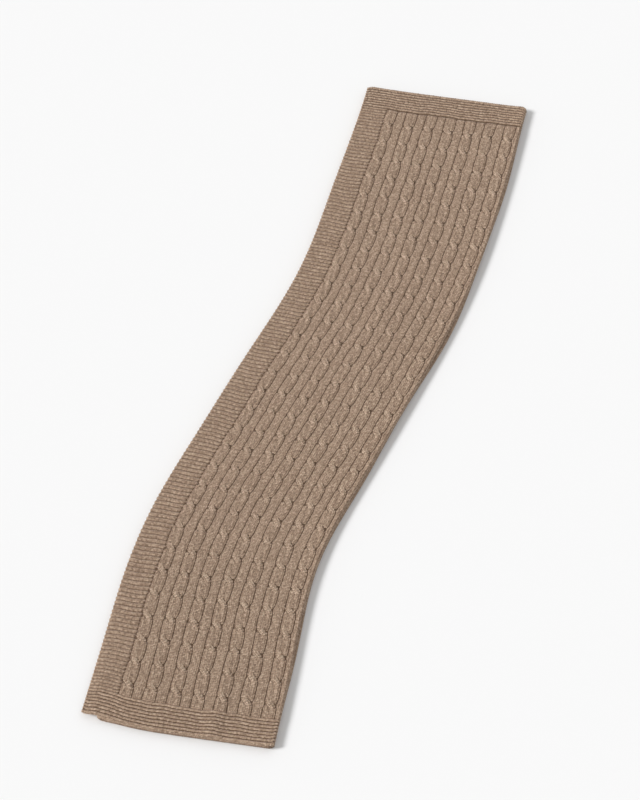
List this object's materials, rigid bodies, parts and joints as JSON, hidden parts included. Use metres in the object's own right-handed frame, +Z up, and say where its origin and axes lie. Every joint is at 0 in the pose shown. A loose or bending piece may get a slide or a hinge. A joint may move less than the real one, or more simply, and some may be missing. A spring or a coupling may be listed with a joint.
{
  "type": "folded cable-knit throw blanket",
  "caption": "Taupe cable-knit throw blanket with ridge-knit borders, folded lengthwise into a layered strip and laid flat in a gentle bend.",
  "frame": {"origin": "middle of the folded strip's outline, on the surface that it lies on", "axes": "+Z up; +Y along the strip, away from its near end; +X toward the first and third folds"},
  "size_m": [0.6954, 1.6658, 0.0204],
  "materials": {
    "taupe_yarn": "matte knitted yarn, flecked oatmeal and taupe"
  },
  "bodies": {
    "root": {"cable_knit_throw": "taupe_yarn"}
  },
  "joints": []
}
